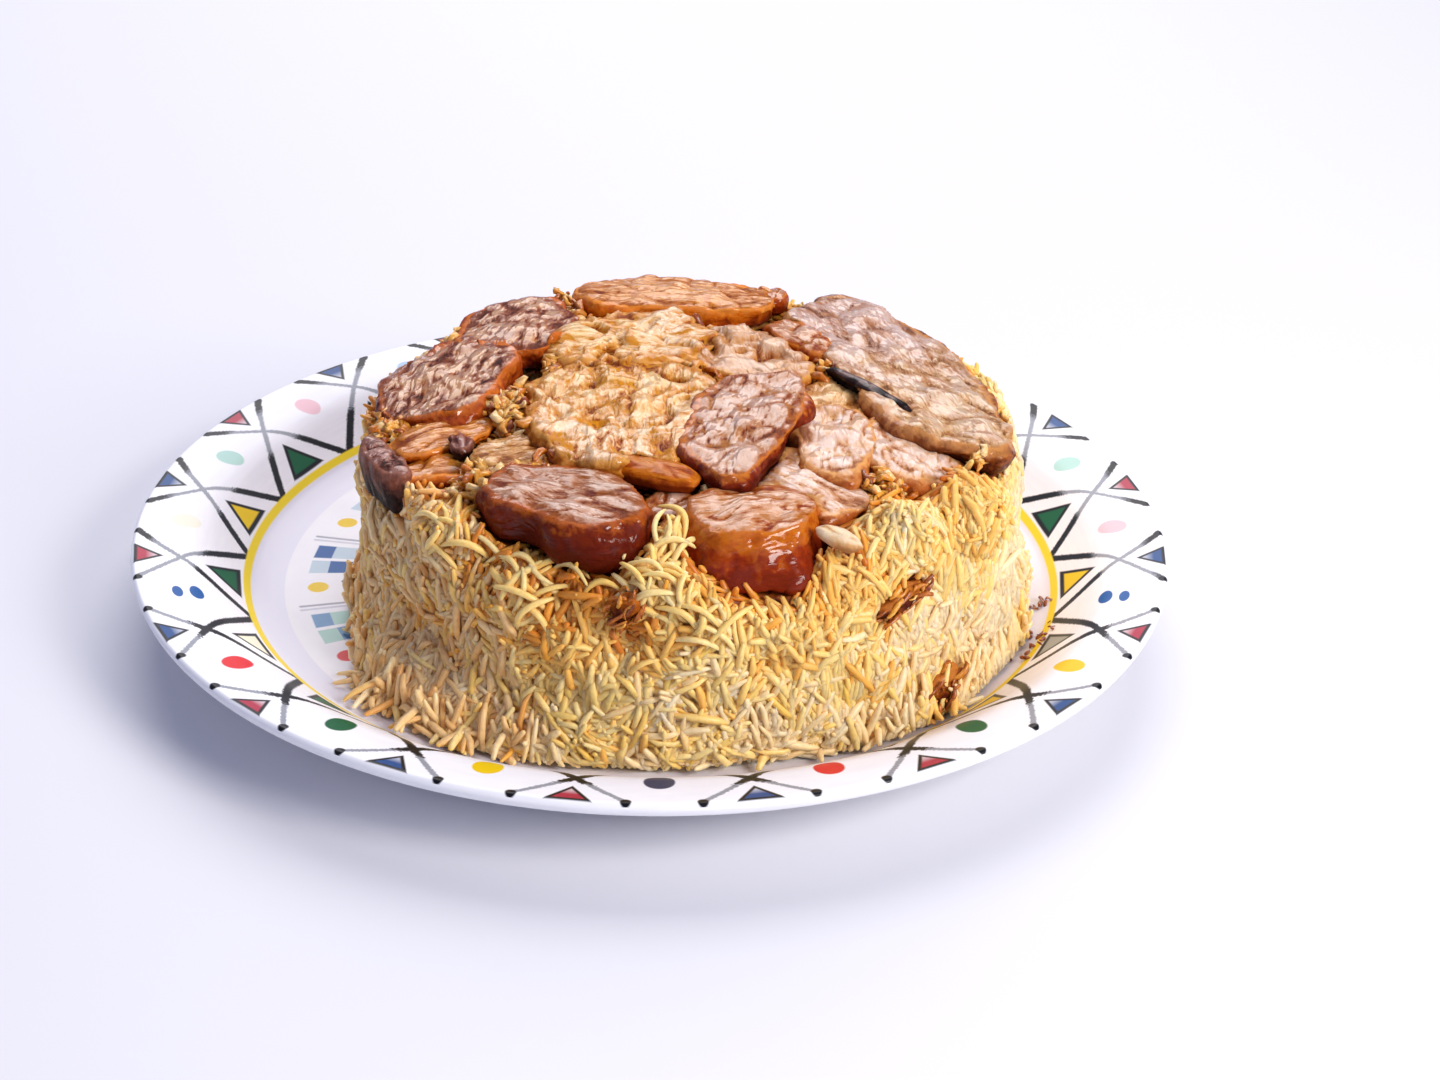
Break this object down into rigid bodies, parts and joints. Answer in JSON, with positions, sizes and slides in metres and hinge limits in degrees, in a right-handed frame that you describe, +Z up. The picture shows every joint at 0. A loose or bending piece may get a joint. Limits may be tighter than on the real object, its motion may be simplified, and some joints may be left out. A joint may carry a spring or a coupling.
{
  "type": "plate of chicken maqluba",
  "caption": "Turned-out drum of golden rice topped with browned potato, aubergine and chicken, served on a round dinner plate with a line-patterned rim.",
  "frame": {"origin": "centre of the plate's foot, on the surface it stands on", "axes": "+Z up; -Y faces the diner; +X to the diner's right, the rice stands a little off centre towards +X and -Y"},
  "size_m": [0.278, 0.278, 0.0709],
  "materials": {
    "melamine_plate": "gloss",
    "rice": "satin",
    "potato": "glazed",
    "chicken": "moist",
    "aubergine_flesh": "moist",
    "aubergine_skin": "glazed",
    "carrot": "moist",
    "onion": "moist",
    "almond": "satin",
    "meat": "moist"
  },
  "bodies": {
    "root": {"plate": "melamine_plate", "potato_slice_centre": "potato", "aubergine_skin_strip": "aubergine_skin", "potato_wedge_back_right": "potato", "carrot_strip": "carrot", "pepper_bit_left": "aubergine_skin", "almond_sliver": "almond", "tomato_bit_back": "potato", "chicken_piece_front": "chicken", "chicken_piece_back": "chicken", "chicken_piece_right": "chicken", "potato_slice_back": "potato", "potato_slice_back_left": "potato", "potato_slice_left": "potato", "onion_slice": "onion", "aubergine_slice": "aubergine_flesh", "potato_slice_right_inner": "potato", "potato_slice_right_outer": "potato", "potato_slice_front_left": "potato", "potato_chunk_front": "potato", "potato_sliver_front": "potato", "potato_slice_low_left": "potato", "potato_slice_lower_left": "potato", "onion_strip_left": "onion", "potato_slice_low_right": "potato", "aubergine_piece_left": "aubergine_skin", "meat_shred_right": "meat", "meat_shred_right_low": "meat", "meat_shred_front": "meat", "rice_cake": "rice"}
  },
  "joints": []
}
